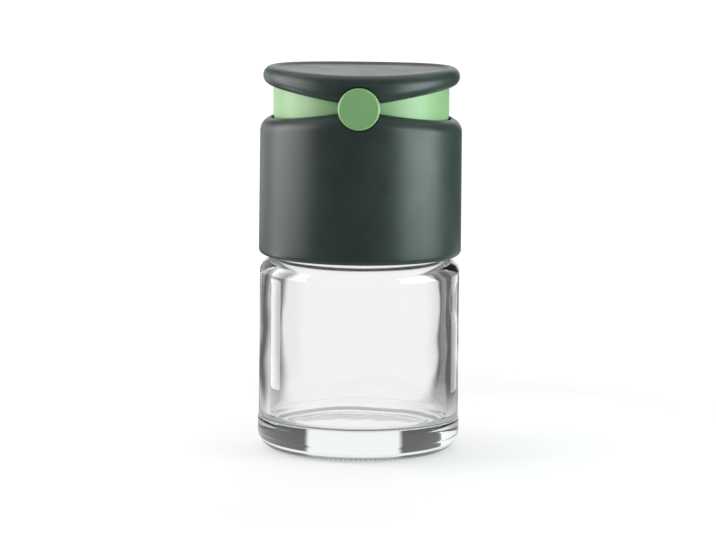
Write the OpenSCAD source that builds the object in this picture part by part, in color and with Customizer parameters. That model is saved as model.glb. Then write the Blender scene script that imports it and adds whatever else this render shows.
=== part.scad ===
// Rocker-top spice container: a thick glass jar under a screw-off dispensing head.
// The lid and the green drum under it tip together about two round pivots, like a see-saw.
// Millimetres, +Z up, origin at the centre of the foot, front pivot facing -Y.

/* [Glass jar] */
// Outside diameter of the glass body
jar_d = 59.4; // [56:0.1:66]
// Height of the glass shoulder above the foot
shoulder_z = 57.5; // [45:0.1:80]
// Thickness of the glass wall
jar_wall = 3.4; // [2.4:0.1:4.5]
// Thickness of the glass floor
jar_floor = 8.3; // [6.5:0.1:11]
// Thickness of the glass over the shoulder
shoulder_t = 2; // [1.6:0.1:3]
// Outside rounding of the heel
heel_r = 5.6; // [4:0.1:7]
// Outside rounding of the shoulder
shoulder_r = 5; // [3:0.1:6]
// Rounding of the cavity at the floor
cavity_floor_r = 3; // [2:0.1:6]
// Rounding of the cavity under the shoulder
cavity_top_r = 1.4; // [0.8:0.1:2.4]
// Height of the thicker band round the foot
foot_band_h = 9.6; // [8:0.1:14]
// How far the foot band stands proud of the body
foot_band_proud = 0.25; // [0.1:0.05:0.5]
// Rounding of the upper edge of the foot band
foot_band_edge = 0.2; // [0.1:0.05:0.4]
// Width of the ring that the jar stands on
bearing_w = 2.75; // [2:0.05:4]
// Depth of the flat recess under the foot
recess_h = 3.3; // [2.6:0.1:3.8]
// Rounding of the recess at its roof
recess_round = 2; // [1:0.1:2.4]

/* [Neck and thread] */
// Outside diameter of the glass neck
neck_d = 51.4; // [48:0.1:53]
// Wall of the glass neck
neck_wall = 2.2; // [2:0.1:3.2]
// Height of the neck above the shoulder
neck_h = 18; // [16:0.1:22]
// Fillet between neck and shoulder
neck_fillet = 0.8; // [0.5:0.1:1.2]
// Rounding of the neck rim
rim_r = 0.8; // [0.4:0.1:1.2]
// Rise of the thread in one turn
thread_pitch = 4.2; // [3.8:0.1:5]
// Turns of thread on the neck and in the head
thread_turns = 1.25; // [1:0.05:1.5]
// Height of the glass thread ridge
thread_h = 0.9; // [0.8:0.05:1.2]
// Axial width of a thread ridge at its root
thread_root_w = 2; // [1.6:0.1:2.2]
// Axial width of a thread ridge at its crest
thread_crest_w = 0.9; // [0.6:0.1:1.2]
// Depth from the rim to the end of the glass thread
thread_drop = 3.4; // [3:0.1:5]
// Run over which each thread end fades away, in degrees
thread_lead = 40; // [20:1:60]
// Radial clearance between the glass thread and the head
thread_clear = 0.3; // [0.25:0.05:0.45]

/* [Threaded sleeve and seals] */
// Wall of the sleeve's wide threaded part
sleeve_wall = 1.2; // [1.1:0.1:2]
// How much narrower the sleeve's throat is than its threaded part, in radius
throat_step = 2.1; // [1.7:0.05:2.3]
// Wall of the sleeve's throat
throat_wall = 1.7; // [1.4:0.1:2.4]
// Height of the sleeve's lower end above the shoulder
sleeve_foot = 2.3; // [1.7:0.1:4]
// Thickness of the sleeve's web over the neck seal
web_t = 1.8; // [1.4:0.1:2.4]
// Thickness of the flat seal on the neck rim
neck_seal_t = 2; // [1.2:0.1:2.6]
// Clearance between the flat seal and its neighbours at both edges
neck_seal_fit = 0.3; // [0.2:0.05:0.5]
// Height of the snap bead round the sleeve
bead_w = 1.2; // [0.8:0.1:2]
// How far the snap bead stands out
bead_h = 0.4; // [0.2:0.05:0.5]
// Clearance round the snap bead in its groove
bead_fit = 0.15; // [0.1:0.05:0.3]
// Distance from the sleeve's upper end down to the snap bead
bead_drop = 5; // [3:0.1:8]
// Height of the wiping seal round the drum
wiper_h = 5.5; // [4.5:0.1:6]
// Running gap between the wiping seal and the drum
wiper_gap = 0.2; // [0.15:0.05:0.3]

/* [Collar] */
// Gap between the collar and the glass shoulder
collar_gap = 0.5; // [0.3:0.1:1.5]
// Wall of the collar round the sleeve's threaded part
collar_wall = 1.75; // [1.6:0.05:2.4]
// Reduction of the collar's radius from foot to top
collar_draft = 0.15; // [0:0.05:0.4]
// Clearance between the collar and what it holds
collar_fit = 0.15; // [0.1:0.05:0.3]
// Rounding of the collar's lower edge
collar_low_r = 1.6; // [1:0.1:2]
// Rounding of the collar's upper edge
collar_top_r = 4; // [3:0.1:4.4]
// Slope of the collar's top, falling from the pivots to each side
collar_slope = 9.5; // [7:0.1:10]
// Depth of the collar's crest below the pivot axis
collar_crest = 0.5; // [0.3:0.1:1]
// Thickness of the lip over the wiping seal
lip_t = 1.2; // [0.8:0.1:1.6]

/* [Pivots] */
// Height of the pivot axis above the glass shoulder
pivot_rise = 46.05; // [45:0.05:50]
// Diameter of the round pivot heads
head_d = 12.2; // [10:0.1:13]
// Thickness of a pivot head
head_t = 2.2; // [1.8:0.1:2.6]
// Rounding of a pivot head's rim
head_edge = 0.6; // [0.3:0.1:0.8]
// Gap round the pivot heads in the lid and the collar
head_gap = 0.4; // [0.3:0.05:0.7]
// Diameter of the pivot pins
pin_d = 5; // [4:0.1:6]
// Length of pin inside the drum
pin_reach = 4.6; // [3.6:0.1:5.6]
// Length of pin that shows past its bearing inside the drum
pin_tail = 0.8; // [0.2:0.1:1.2]
// Radial running clearance of the drum on its pins
pin_run = 0.06; // [0.04:0.01:0.09]
// Radial clearance of the pins in the collar's ears
pin_fit = 0.02; // [0.01:0.01:0.04]
// Thickness of the collar's ears behind the pivot heads
ear_t = 1.85; // [1.6:0.05:2.2]
// How far an ear stays inside the outline of its pivot head
ear_inset = 0.4; // [0.3:0.1:0.8]

/* [Drum] */
// How far the ball that the drum is turned from stands out past the drum's straight band
ball_over = 0.25; // [0.15:0.05:0.4]
// Running gap between the ball and the collar's mouth
ball_gap = 0.3; // [0.25:0.05:0.5]
// Wall of the drum
drum_wall = 1.8; // [1.4:0.1:2.2]
// Depth of the drum below the pivot axis
drum_drop = 17.5; // [16.5:0.1:18]
// Height of the drum's roof above the pivot axis
drum_top = 5.9; // [5.6:0.1:6.4]
// Wall of the bearing bosses round the pins
boss_wall = 1.9; // [1.4:0.1:2.2]
// Depth from the pivot axis to the middle of both dispensing ports
port_drop = 10.25; // [10:0.05:10.5]
// Height of the pouring port
port_h = 4; // [3:0.1:4.2]
// Width of the pouring port
port_w = 20; // [12:0.1:24]
// Diameter of the sprinkling holes
hole_d = 1.7; // [1.2:0.1:1.8]
// Spacing of the sprinkling holes
hole_step = 4; // [3:0.1:4.5]
// Sprinkling holes in the longer row
hole_count = 5; // [3:1:6]

/* [Lid] */
// How far the lid overhangs the drum
lid_over = 3.05; // [2.8:0.05:3.4]
// Largest rounding of the lid's edges
lid_edge_r = 3; // [2.4:0.1:3.2]
// Height of the lid's top above the pivot axis, along the middle
lid_rise = 9.45; // [9:0.05:10]
// How much the top dishes up towards both sides
lid_dish = 0.75; // [0.4:0.05:1.6]
// Slope of the lid's lower edge, rising from the pivots to each side
lid_slope = 9.2; // [7:0.1:9.6]
// Height of the lid's lower edge above the pivot axis at the pivots
lid_crest = 0.4; // [0.3:0.1:0.8]
// Thickness of the lid's top
lid_top_t = 1.75; // [1.4:0.05:2]
// Clearance between the lid and the drum
lid_fit = 0.15; // [0.1:0.05:0.2]
// Width of the ledge by which the lid sits on the drum
lid_ledge = 2.3; // [1.8:0.1:3]
// Diameter of the staking posts under the lid
post_d = 5; // [4:0.1:6]
// Distance of the staking posts from the middle
post_x = 14; // [10:0.1:17]
// Length of the staking posts below the drum's roof
post_tail = 1.6; // [1:0.1:2.4]
// Clearance of the posts in the drum's roof
post_fit = 0.08; // [0.05:0.01:0.12]

/* [Hidden] */
$fn = 96;

// Overlap by which a cut passes its face, and by which joined shapes sink into each other
cut = 1;
sink = 0.4;
// Facets round the freely curved shells, and degrees between the points of their roundings
shell_sides = 72;
round_step = 15;
// Steps in one turn of a thread
thread_steps = 40;
// Rings between the middle and the edge of the lid's top
top_rings = 4;
// Least straight height left between the lid's two roundings
edge_flat = 0.1;

jar_r = jar_d / 2;
foot_r = jar_r + foot_band_proud;
neck_r = neck_d / 2;
neck_bore_r = neck_r - neck_wall;
rim_z = shoulder_z + neck_h;
bearing_r = foot_r - heel_r;
recess_r = bearing_r - bearing_w;
fillet_reach = max(0, neck_r + neck_fillet - jar_r + shoulder_r);
fillet_z = shoulder_z - shoulder_r + sqrt(shoulder_r * shoulder_r - fillet_reach * fillet_reach);

thread_crest_r = neck_r + thread_h;
sleeve_bore_r = thread_crest_r + thread_clear;
sleeve_r = sleeve_bore_r + sleeve_wall;
thread_rise = thread_pitch * thread_turns;
glass_thread_z = rim_z - thread_drop - thread_rise;
sleeve_thread_z = glass_thread_z - thread_pitch / 2;
sleeve_thread_r = neck_r + thread_clear;

pivot_z = shoulder_z + pivot_rise;
drum_r = sleeve_r - throat_step;
ball_r = drum_r + ball_over;
web_z = rim_z + neck_seal_t;
step_z = web_z + web_t;
sleeve_z = shoulder_z + sleeve_foot;
lip_z = pivot_z - port_drop + wiper_h / 2;
sleeve_top_z = lip_z - wiper_h;
bead_z = sleeve_top_z - bead_drop;

collar_z = shoulder_z + collar_gap;
skirt_bore_r = sleeve_r + collar_fit;
collar_bore_r = drum_r + collar_fit;
collar_r = skirt_bore_r + collar_wall;
collar_top_radius = collar_r - collar_draft;
mouth_r = ball_r + ball_gap;
groove_r = collar_bore_r + bead_h + bead_fit;
lip_r = sqrt(ball_r * ball_r - pow(pivot_z - lip_z - lip_t, 2)) + ball_gap;

ear_y = mouth_r + ear_t;
head_r = head_d / 2;
notch_r = head_r + head_gap;
ear_r = head_r - ear_inset;
pin_r = pin_d / 2;
pin_end_y = drum_r - pin_reach;
boss_r = pin_r + boss_wall;
boss_y = pin_end_y + pin_tail;

roof_z = pivot_z + drum_top;
roof_under_z = roof_z - drum_wall;
lid_bore_r = drum_r + lid_fit;
lid_r = drum_r + lid_over;
ceiling_z = pivot_z + lid_rise - lid_top_t;
clear_z = pivot_z + ear_r + cut;
post_r = post_d / 2;

dark_plastic = [0.17, 0.21, 0.2];
green_plastic = [0.58, 0.76, 0.53];
silicone = [0.78, 0.8, 0.78];
pale_plastic = [0.88, 0.9, 0.88];
glass_tint = [0.8, 0.86, 0.85, 0.45];

// Half section from the axis out to r, with rounded outer corners below and above
module soft_block(r, z0, z1, low_r = 0, high_r = 0) {
    translate([0, z0 + low_r]) square([r, z1 - high_r - z0 - low_r]);
    if (low_r > 0) {
        translate([0, z0]) square([r - low_r, low_r + cut / 10]);
        translate([r - low_r, z0 + low_r]) circle(low_r);
    }
    if (high_r > 0) {
        translate([0, z1 - high_r - cut / 10]) square([r - high_r, high_r + cut / 10]);
        translate([r - high_r, z1 - high_r]) circle(high_r);
    }
}

// Half section of a plain ring
module ring_section(r0, r1, z0, z1) {
    translate([r0, z0]) square([r1 - r0, z1 - z0]);
}

// Cylinder along Y about the pivot axis, between two distances from the middle
module pivot_cylinder(r, y0, y1) {
    translate([0, -y0, pivot_z]) rotate([90, 0, 0]) cylinder(r = r, h = y1 - y0);
}

// Repeats its children at the front and at the rear
module both_ends() {
    children();
    rotate(180) children();
}

// Points of a rounding about a centre, from angle a0 down to a1
function rounding(r, z, e, a0, a1) =
    [for (a = [a0 : -round_step : a1]) [r + e * cos(a), z + e * sin(a)]];

// Closed shell through profiles that run from above to below, one at each step round the axis
module round_shell(profiles, top_z, low_z) {
    n = len(profiles);
    m = len(profiles[0]);
    around = [for (i = [0 : n - 1]) for (p = profiles[i])
        [p[0] * cos(360 * i / n), p[0] * sin(360 * i / n), p[1]]];
    top = n * m;
    low = top + 1;
    walls = [for (i = [0 : n - 1]) for (j = [0 : m - 2]) let (k = (i + 1) % n) each [
        [i * m + j, k * m + j, k * m + j + 1],
        [i * m + j, k * m + j + 1, i * m + j + 1]
    ]];
    caps = [for (i = [0 : n - 1]) let (k = (i + 1) % n) each [
        [top, k * m, i * m],
        [low, i * m + m - 1, k * m + m - 1]
    ]];
    polyhedron(concat(around, [[0, 0, top_z], [0, 0, low_z]]), concat(walls, caps));
}

// Thread ridge from a root radius to a crest radius, fading into its wall at both ends
module thread_ridge(root_r, crest_r, z0) {
    side = crest_r > root_r ? 1 : -1;
    buried_r = root_r - side * sink;
    count = round(thread_steps * thread_turns);
    sweep = 360 * thread_turns;
    rings = [for (i = [0 : count]) let (
        a = sweep * i / count,
        fade = min(1, a / thread_lead, (sweep - a) / thread_lead),
        r = root_r - side * sink / 2 + (crest_r - root_r + side * sink / 2) * fade,
        z = z0 + thread_pitch * a / 360,
        section = [
            [buried_r, -thread_root_w / 2], [r, -thread_crest_w / 2],
            [r, thread_crest_w / 2], [buried_r, thread_root_w / 2]
        ]
    ) for (p = section) [p[0] * cos(a), p[0] * sin(a), z + p[1]]];
    skin = [for (i = [0 : count - 1]) for (j = [0 : 3]) let (
        k = (j + 1) % 4, p = 4 * i, q = 4 * i + 4
    ) each [[p + j, p + k, q + k], [p + j, q + k, q + j]]];
    ends = [[0, 2, 1], [0, 3, 2], [4 * count, 4 * count + 1, 4 * count + 2],
        [4 * count, 4 * count + 2, 4 * count + 3]];
    faces = concat(skin, ends);
    polyhedron(rings, side > 0 ? faces : [for (f = faces) [f[0], f[2], f[1]]]);
}

module glass_jar() {
    color(glass_tint) {
        rotate_extrude() difference() {
            union() {
                soft_block(foot_r, 0, foot_band_h, heel_r, foot_band_edge);
                soft_block(jar_r, foot_band_h - sink, shoulder_z, 0, shoulder_r);
                soft_block(neck_r, shoulder_z - sink, rim_z, 0, rim_r);
                difference() {
                    translate([neck_r - sink, fillet_z - sink]) square(neck_fillet + sink);
                    translate([neck_r + neck_fillet, fillet_z + neck_fillet]) circle(neck_fillet);
                }
            }
            soft_block(jar_r - jar_wall, jar_floor, shoulder_z - shoulder_t, cavity_floor_r, cavity_top_r);
            soft_block(neck_bore_r, jar_floor + cavity_floor_r, rim_z + cut);
            soft_block(recess_r, -cut, recess_h, 0, recess_round);
        }
        thread_ridge(neck_r, thread_crest_r, glass_thread_z);
    }
}

module neck_seal() {
    color(silicone) rotate_extrude()
        ring_section(neck_bore_r + neck_seal_fit, sleeve_bore_r - neck_seal_fit, rim_z, web_z);
}

module threaded_sleeve() {
    color(pale_plastic) {
        rotate_extrude() {
            ring_section(sleeve_bore_r, sleeve_r, sleeve_z, step_z);
            ring_section(neck_bore_r, sleeve_bore_r + sink, web_z, step_z);
            ring_section(drum_r - throat_wall, drum_r, step_z - sink, sleeve_top_z);
            ring_section(drum_r - sink, drum_r + bead_h, bead_z, bead_z + bead_w);
        }
        thread_ridge(sleeve_bore_r, sleeve_thread_r, sleeve_thread_z);
    }
}

module wiping_seal() {
    color(silicone) rotate_extrude() difference() {
        ring_section(0, collar_bore_r - collar_fit, sleeve_top_z, lip_z);
        translate([0, pivot_z]) circle(ball_r + wiper_gap);
    }
}

// Outside of the collar at one angle round the axis, from the mouth down to the lower edge
function collar_profile(a) = let (
    crest_z = pivot_z - collar_crest - tan(collar_slope) * mouth_r * abs(cos(a)),
    top = rounding(collar_top_radius - collar_top_r, crest_z - collar_top_r, collar_top_r, 90, 0),
    low = rounding(collar_r - collar_low_r, collar_z + collar_low_r, collar_low_r, 0, -90)
) concat(top, low);

module grip_collar() {
    color(dark_plastic) {
        difference() {
            union() {
                round_shell(
                    [for (i = [0 : shell_sides - 1]) collar_profile(360 * i / shell_sides)],
                    pivot_z - collar_crest, collar_z
                );
                both_ends() pivot_cylinder(ear_r, drum_r - cut, ear_y);
            }
            rotate_extrude() {
                ring_section(0, skirt_bore_r, collar_z - cut, step_z + collar_fit);
                ring_section(0, collar_bore_r, collar_z - cut, lip_z);
                ring_section(0, groove_r, bead_z - bead_fit, bead_z + bead_w + bead_fit);
                ring_section(0, lip_r, lip_z - cut, clear_z);
                ring_section(0, mouth_r, lip_z + lip_t, clear_z);
            }
            both_ends() pivot_cylinder(notch_r, ear_y, collar_r + cut);
            both_ends() pivot_cylinder(pin_r + pin_fit, drum_r - cut, collar_r + cut);
        }
    }
}

// Round pivot head with its pin, for the front
module pivot() {
    color(green_plastic) translate([0, 0, pivot_z]) rotate([90, 0, 0]) rotate_extrude() {
        soft_block(head_r, ear_y, ear_y + head_t, 0, head_edge);
        soft_block(pin_r, pin_end_y, ear_y + sink);
    }
}

module front_pivot() {
    pivot();
}

module rear_pivot() {
    rotate(180) pivot();
}

// Ball of the given radius, with its sides shaved to a straight band
module banded_ball(r, band_r, low_z, high_z) {
    rotate_extrude() intersection() {
        translate([0, pivot_z]) circle(r);
        ring_section(0, band_r, low_z, high_z);
    }
}

// Slot through the drum's side with round ends, for pouring
module pouring_port() {
    half = (port_w - port_h) / 2;
    translate([-ball_r - cut, 0, pivot_z - port_drop]) rotate([90, 0, 90]) linear_extrude(ball_r) {
        square([2 * half, port_h], center = true);
        for (side = [-1, 1]) translate([side * half, 0]) circle(port_h / 2);
    }
}

// Two staggered rows of small holes through the drum's other side, for sprinkling
module sprinkling_holes() {
    row_gap = port_h / 4;
    for (row = [0, 1]) for (i = [0 : hole_count - 1 - row]) {
        y = (i - (hole_count - 1 - row) / 2) * hole_step;
        translate([0, y, pivot_z - port_drop + row_gap * (1 - 2 * row)])
            rotate([0, 90, 0]) cylinder(d = hole_d, h = ball_r + cut);
    }
}

module dispensing_drum() {
    floor_z = pivot_z - drum_drop;
    color(green_plastic) difference() {
        union() {
            difference() {
                banded_ball(ball_r, drum_r, floor_z, roof_z);
                banded_ball(ball_r - drum_wall, drum_r - drum_wall, floor_z - cut, roof_under_z);
            }
            both_ends() pivot_cylinder(boss_r, boss_y, drum_r - drum_wall + sink);
        }
        both_ends() pivot_cylinder(pin_r + pin_run, boss_y - cut, ball_r + cut);
        pouring_port();
        sprinkling_holes();
        for (side = [-1, 1]) translate([side * post_x, 0, roof_under_z - cut])
            cylinder(r = post_r + post_fit, h = drum_wall + 2 * cut);
    }
}

// Outside of the lid at one angle round the axis, from near the middle out and under its edge
function lid_profile(a) = let (
    side = abs(cos(a)),
    top_z = pivot_z + lid_rise,
    edge_z = top_z + lid_dish * side * side,
    low_z = pivot_z + lid_crest + tan(lid_slope) * drum_r * side,
    e = min(lid_edge_r, (edge_z - low_z - edge_flat) / 2),
    flat_r = lid_r - e,
    top = [for (k = [1 : top_rings - 1]) let (s = k / top_rings)
        [flat_r * s, top_z + lid_dish * side * side * s * s]],
    upper = rounding(flat_r, edge_z - e, e, 90, 0),
    lower = rounding(flat_r, low_z + e, e, 0, -90)
) concat(top, upper, lower);

module rocker_lid() {
    color(dark_plastic) {
        difference() {
            round_shell(
                [for (i = [0 : shell_sides - 1]) lid_profile(360 * i / shell_sides)],
                pivot_z + lid_rise, pivot_z + lid_crest
            );
            rotate_extrude() {
                ring_section(0, lid_bore_r, pivot_z - cut, roof_z);
                ring_section(0, lid_bore_r - lid_ledge, roof_z - cut, ceiling_z);
            }
            both_ends() pivot_cylinder(notch_r, drum_r - 2 * cut, lid_r + cut);
        }
        for (side = [-1, 1]) translate([side * post_x, 0, roof_under_z - post_tail])
            cylinder(r = post_r, h = ceiling_z - roof_under_z + post_tail + sink);
    }
}

glass_jar();
neck_seal();
threaded_sleeve();
wiping_seal();
grip_collar();
front_pivot();
rear_pivot();
dispensing_drum();
rocker_lid();
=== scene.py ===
"""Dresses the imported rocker-top spice container and sets up its studio picture.

A thick clear glass jar stands under a tall dark collar. Above the collar a green drum and a dark lid rock
together on two round pivots. Sizes are in millimetres and become metres when a mesh is made.
"""

import logging
import math
from dataclasses import dataclass, replace
from enum import Enum
from typing import Callable, Mapping, Sequence, Union

import bmesh
import bpy
import numpy as np
from mathutils import Matrix, Quaternion, Vector


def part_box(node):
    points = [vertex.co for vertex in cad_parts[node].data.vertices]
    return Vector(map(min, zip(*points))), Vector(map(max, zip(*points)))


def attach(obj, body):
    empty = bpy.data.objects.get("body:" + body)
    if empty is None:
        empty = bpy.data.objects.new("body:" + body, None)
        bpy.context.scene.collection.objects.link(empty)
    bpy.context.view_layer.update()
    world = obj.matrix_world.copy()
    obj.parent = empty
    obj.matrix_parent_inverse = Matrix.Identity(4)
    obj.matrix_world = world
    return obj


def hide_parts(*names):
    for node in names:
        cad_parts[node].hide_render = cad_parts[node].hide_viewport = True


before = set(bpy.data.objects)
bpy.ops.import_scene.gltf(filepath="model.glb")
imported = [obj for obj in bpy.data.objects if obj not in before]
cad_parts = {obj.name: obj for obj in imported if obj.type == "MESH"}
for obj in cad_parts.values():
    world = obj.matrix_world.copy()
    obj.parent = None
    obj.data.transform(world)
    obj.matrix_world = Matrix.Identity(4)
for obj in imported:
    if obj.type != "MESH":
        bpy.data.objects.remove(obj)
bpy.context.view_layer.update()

log = logging.getLogger("spice_container")

MM = 0.001
SMOOTH_ANGLE = math.radians(32)
NOISE_MEAN = 0.5

# Steps round the turned pieces and round the bars that cut them
FINE_AROUND = 288
NOTCH_AROUND = 160
PIVOT_AROUND = 128
ROD_AROUND = 96
POST_AROUND = 64
HOLE_AROUND = 32

# Points closer than this count as one, in millimetres
SAME_POINT = 1e-5
# Points this close to an edge lie on it, in millimetres
NEAR = 0.02
# Margin round a region in which points are chosen, in millimetres
MARGIN = 0.05
# Length by which a cutting bar reaches past what it cuts, in millimetres
CUT_OVER = 2.0

Colour = tuple[float, float, float]
Point = tuple[float, float]
Span = tuple[float, float]
Input = Union["Wire", float, Sequence[float]]


class Ends(Enum):
    """How the profile of a skin closes."""

    POLES = "both ends lie on the axis"
    LOOP = "the last point joins the first"


class Carve(Enum):
    """What a boolean does with its tool."""

    ADD = "UNION"
    CUT = "DIFFERENCE"


class Side(Enum):
    """Ends of the pivot axis."""

    FRONT = 1
    REAR = -1


class Slot(Enum):
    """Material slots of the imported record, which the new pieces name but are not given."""

    GLASS = "clear_glass"
    DARK = "dark_plastic"
    GREEN = "green_plastic"


class Wire:
    """One output socket, with arithmetic that adds Math nodes."""

    def __init__(self, graph: "Graph", socket: bpy.types.NodeSocket | None) -> None:
        """Keeps the socket with the graph that it belongs to."""
        self.graph = graph
        self.socket = socket

    def _math(self, operation: str, first: Input, second: Input = 0.0) -> "Wire":
        """Adds one Math node on two values."""
        return self.graph.node("ShaderNodeMath", {"operation": operation}, {0: first, 1: second})

    def __add__(self, other: Input) -> "Wire":
        """Sum of two values."""
        return self._math("ADD", self, other)

    def __radd__(self, other: Input) -> "Wire":
        """Sum with a plain number in front."""
        return self._math("ADD", other, self)

    def __sub__(self, other: Input) -> "Wire":
        """Difference of two values."""
        return self._math("SUBTRACT", self, other)

    def __rsub__(self, other: Input) -> "Wire":
        """Difference with a plain number in front."""
        return self._math("SUBTRACT", other, self)

    def __mul__(self, other: Input) -> "Wire":
        """Product of two values."""
        return self._math("MULTIPLY", self, other)

    def __rmul__(self, other: Input) -> "Wire":
        """Product with a plain number in front."""
        return self._math("MULTIPLY", other, self)

    def __abs__(self) -> "Wire":
        """Size of the value without its sign."""
        return self._math("ABSOLUTE", self)

    def at_most(self, other: Input) -> "Wire":
        """Smaller of two values."""
        return self._math("MINIMUM", self, other)

    def at_least(self, other: Input) -> "Wire":
        """Larger of two values."""
        return self._math("MAXIMUM", self, other)

    def angle_from(self, other: Input) -> "Wire":
        """Angle, in radians, of the direction whose parts are this value and the other one."""
        return self._math("ARCTAN2", self, other)

    def fade(self, span: Span, unit: float = 1.0) -> "Wire":
        """Smooth step of the value.

        Args:
            span: Values at which the step is 0 and 1; the step falls if the second one is lower.
            unit: Size of one unit of the span.

        Returns:
            A value from 0 to 1.
        """
        low, high = sorted(limit * unit for limit in span)
        inputs = {"Value": self, "From Min": low, "From Max": high}
        rising = self.graph.node("ShaderNodeMapRange", {"interpolation_type": "SMOOTHSTEP"}, inputs)
        return rising if span[0] < span[1] else 1 - rising


class Graph:
    """Builds one node tree from plain calls."""

    def __init__(self, tree: bpy.types.NodeTree) -> None:
        """Starts from an empty tree."""
        self.tree = tree
        self.tree.nodes.clear()

    @staticmethod
    def _find(sockets: Sequence[bpy.types.NodeSocket], key: Union[int, str]) -> bpy.types.NodeSocket:
        """Socket by its place, or the first one in use that has the name."""
        if isinstance(key, int):
            return sockets[key]
        return next(socket for socket in sockets if socket.name == key and socket.enabled)

    def node(
        self,
        kind: str,
        settings: Mapping[str, object] | None = None,
        inputs: Mapping[Union[int, str], Input] | None = None,
        output: Union[int, str] = 0,
    ) -> Wire:
        """Adds one node.

        Args:
            kind: Blender's name for the node type.
            settings: The node's own settings, set before its sockets.
            inputs: Values or wires for its input sockets, by place or name.
            output: The output socket to hand back, by place or name.

        Returns:
            The wire of that output; a tree's own output node has none.
        """
        made = self.tree.nodes.new(kind)
        for key, value in (settings or {}).items():
            setattr(made, key, value)
        for key, value in (inputs or {}).items():
            socket = self._find(made.inputs, key)
            if isinstance(value, Wire):
                self.tree.links.new(value.socket, socket)
            elif socket.type == "RGBA":
                socket.default_value = (*value[:3], 1.0)
            else:
                socket.default_value = value
        return Wire(self, self._find(made.outputs, output) if len(made.outputs) else None)

    def split(self, vector: Wire) -> tuple[Wire, Wire, Wire]:
        """The three parts of a vector."""
        made = self.node("ShaderNodeSeparateXYZ", {}, {0: vector}).socket.node
        return tuple(Wire(self, socket) for socket in made.outputs)

    def place(self) -> Wire:
        """Position on the object in the shared frame, in metres."""
        return self.node("ShaderNodeTexCoord", output="Object")

    def reach(self, place: Wire) -> Wire:
        """Distance of a position from the origin, in metres."""
        return self.node("ShaderNodeVectorMath", {"operation": "LENGTH"}, {0: place}, "Value")

    def noise(self, place: Wire, size: float, detail: float = 2.0, roughness: float = 0.5) -> Wire:
        """Noise with features of a real size.

        Args:
            place: Position wire.
            size: Width of the features in millimetres.
            detail: Octaves of finer noise.
            roughness: Weight of the finer octaves.

        Returns:
            A value round 0.5.
        """
        inputs = {"Vector": place, "Scale": 1 / (size * MM), "Detail": detail, "Roughness": roughness}
        return self.node("ShaderNodeTexNoise", {}, inputs, "Fac")

    def mix(self, share: Input, first: Input, second: Input) -> Wire:
        """Blend of two colours by a share from 0 to 1."""
        inputs = {"Factor": share, "A": first, "B": second}
        return self.node("ShaderNodeMix", {"data_type": "RGBA"}, inputs, "Result")

    def bump(self, height: Wire, depth: float) -> Wire:
        """Normal of a relief that is a depth in millimetres where its height is 1."""
        return self.node("ShaderNodeBump", {}, {"Height": height, "Strength": 1.0, "Distance": depth * MM})

    def light_path(self, output: str) -> Wire:
        """What the named output of Light Path says of a ray, such as 1 for a camera ray."""
        return self.node("ShaderNodeLightPath", output=output)

    def surface(self, inputs: Mapping[str, Input], others: Mapping[str, Wire] | None = None) -> None:
        """Adds the surface shader and the material's output.

        Args:
            inputs: Values or wires for the shader's sockets, by name.
            others: Wires for other sockets of the output, by name.
        """
        shader = self.node("ShaderNodeBsdfPrincipled", {}, inputs)
        self.node("ShaderNodeOutputMaterial", {}, {"Surface": shader, **(others or {})})


def new_material(name: str) -> tuple[bpy.types.Material, Graph]:
    """Material with an empty node tree.

    Args:
        name: Name of the finish.

    Returns:
        The material and the graph of its nodes.
    """
    material = bpy.data.materials.new(name)
    material.use_nodes = True
    return material, Graph(material.node_tree)


def grey(level: float) -> Colour:
    """Neutral colour of one level."""
    return (level, level, level)


def toned(colour: Colour, factor: float) -> Colour:
    """Colour with each part multiplied by a factor."""
    return tuple(part * factor for part in colour)


@dataclass(frozen=True)
class MouldedPlastic:
    """Moulded plastic with a spark-eroded grain and a faint unevenness of tone and gloss."""

    name: str
    colour: Colour
    tone_spread: float
    roughness: float
    roughness_spread: float
    grain_size: float
    grain_depth: float
    grain_share: float = 0.4
    cloud_size: float = 9.0
    cloud_edge: Span = (0.3, 0.7)
    ripple_size: float = 2.6
    ripple_share: float = 0.35
    specular: float = 0.5
    glow: float = 0.0
    glow_depth: float = 0.6

    def material(self) -> bpy.types.Material:
        """Builds the finish.

        Returns:
            The new material.
        """
        material, graph = new_material(self.name)
        place = graph.place()
        grain = graph.noise(place, self.grain_size, detail=3.0)
        ripple = graph.noise(place, self.ripple_size)
        cloud = graph.noise(place, self.cloud_size, detail=4.0, roughness=0.55).fade(self.cloud_edge)
        tone = graph.mix(
            cloud * (1 - self.grain_share) + grain * self.grain_share,
            toned(self.colour, 1 - self.tone_spread),
            toned(self.colour, 1 + self.tone_spread),
        )
        uneven = (cloud - NOISE_MEAN) + (grain - NOISE_MEAN)
        graph.surface({
            "Base Color": tone,
            "Roughness": self.roughness + self.roughness_spread * uneven,
            "Specular IOR Level": self.specular,
            "Subsurface Weight": self.glow,
            "Subsurface Radius": grey(1.0),
            "Subsurface Scale": self.glow_depth * MM,
            "Normal": graph.bump(grain + ripple * self.ripple_share, self.grain_depth),
        })
        return material


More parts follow.
